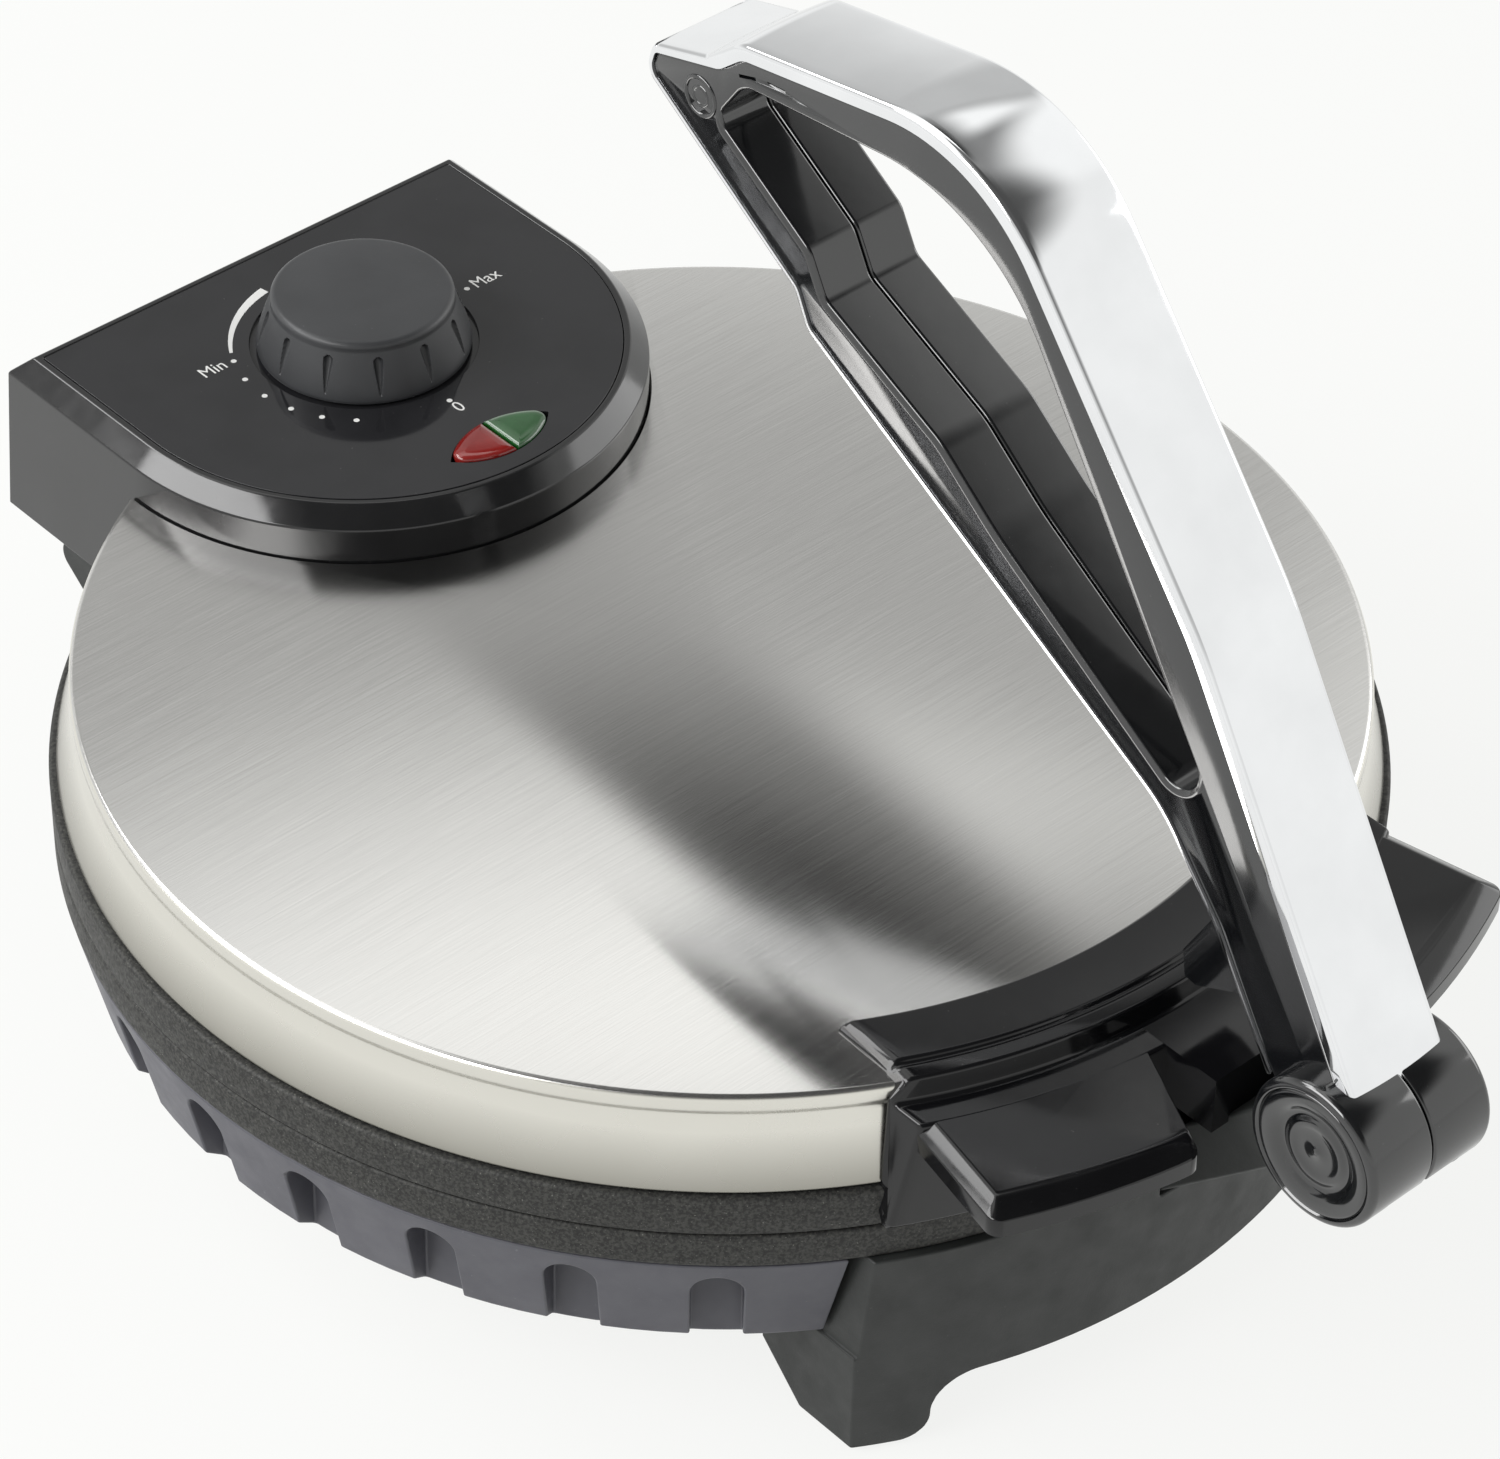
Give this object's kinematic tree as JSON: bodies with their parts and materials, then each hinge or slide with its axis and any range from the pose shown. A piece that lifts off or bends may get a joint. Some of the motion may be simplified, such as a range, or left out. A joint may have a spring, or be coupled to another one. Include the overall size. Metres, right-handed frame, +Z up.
{
  "type": "electric roti maker",
  "caption": "Round countertop flatbread press and cooker with a hinged brushed lid, a thermostat console at the rear and a tall chrome press lever on a front arm.",
  "frame": {"origin": "middle of the object's box in plan, on the surface it stands on", "axes": "+Z up, +Y from the lever at the front towards the hinge at the rear, +X to the right seen from the front"},
  "size_m": [0.2692, 0.3508, 0.2506],
  "materials": {
    "grey_housing": "smooth matte blue-grey moulding",
    "black_housing": "matte black moulding with a fine texture",
    "gloss_black": "polished black moulding",
    "console_black": "semi-gloss black moulding",
    "knob_grey": "satin dark grey moulding",
    "cast_plate": "cast aluminium with a dark speckled non-stick coat",
    "stainless": "stainless steel brushed from side to side",
    "chrome_skin": "polished chrome",
    "steel": "plain steel",
    "element_steel": "dull steel tube",
    "shield": "thin bright aluminium",
    "die_cast": "plain die casting",
    "bush_brass": "plain brass",
    "rubber_pads": "black rubber",
    "ceramic": "off-white heat-proof moulding",
    "red_lens": "clear red moulding",
    "green_lens": "clear green moulding",
    "lamp_glass": "small glass lamps"
  },
  "bodies": {
    "base": {"base_housing": "grey_housing", "front_housing": "black_housing", "rear_housing": "black_housing", "lower_plate": "cast_plate", "lower_heating_element": "element_steel", "lower_heat_shield": "shield", "bottom_cover": "black_housing", "clamp_ring": "die_cast", "lever_arm": "black_housing", "pivot_bush": "bush_brass", "lever_pin": "steel", "rear_feet": "black_housing", "rubber_feet": "rubber_pads", "cord_gland": "black_housing", "hinge_pins": "steel", "base_screws": "steel", "terminal_block": "ceramic", "thermal_fuse": "ceramic"},
    "lid": {"lid_cover": "stainless", "upper_plate": "cast_plate", "upper_heating_element": "element_steel", "upper_heat_shield": "shield", "lid_bracket": "gloss_black", "console_housing": "console_black", "console_panel": "console_black", "lid_hinge_bracket": "die_cast", "red_lens": "red_lens", "green_lens": "green_lens", "pilot_lamps": "lamp_glass", "thermostat": "ceramic", "lid_screws": "steel"},
    "knob": {"knob": "knob_grey", "thermostat_spindle": "steel", "knob_clip": "steel"},
    "lever": {"lever_frame_left": "gloss_black", "lever_frame_right": "gloss_black", "lever_shell": "chrome_skin", "lever_screw": "steel", "barrel_cap_left": "console_black", "barrel_cap_right": "console_black", "press_cam": "black_housing"}
  },
  "joints": [
    {"name": "lid_hinge", "type": "hinge", "parent": "base", "child": "lid", "pos_m": [0, 0.15595, 0.057], "axis": [-1, 0, 0], "range_deg": [0, 95]},
    {"name": "lever_swing", "type": "hinge", "parent": "base", "child": "lever", "pos_m": [0, -0.16015, 0.089], "axis": [1, 0, 0], "range_deg": [0, 95]},
    {"name": "knob_turn", "type": "hinge", "parent": "lid", "child": "knob", "pos_m": [0, 0.12795, 0.102], "axis": [0, 0, -1], "range_deg": [0, 270]}
  ],
  "couplings": [
    {"joint": "lever_swing", "follows": "lid_hinge", "ratio": 0.98}
  ]
}
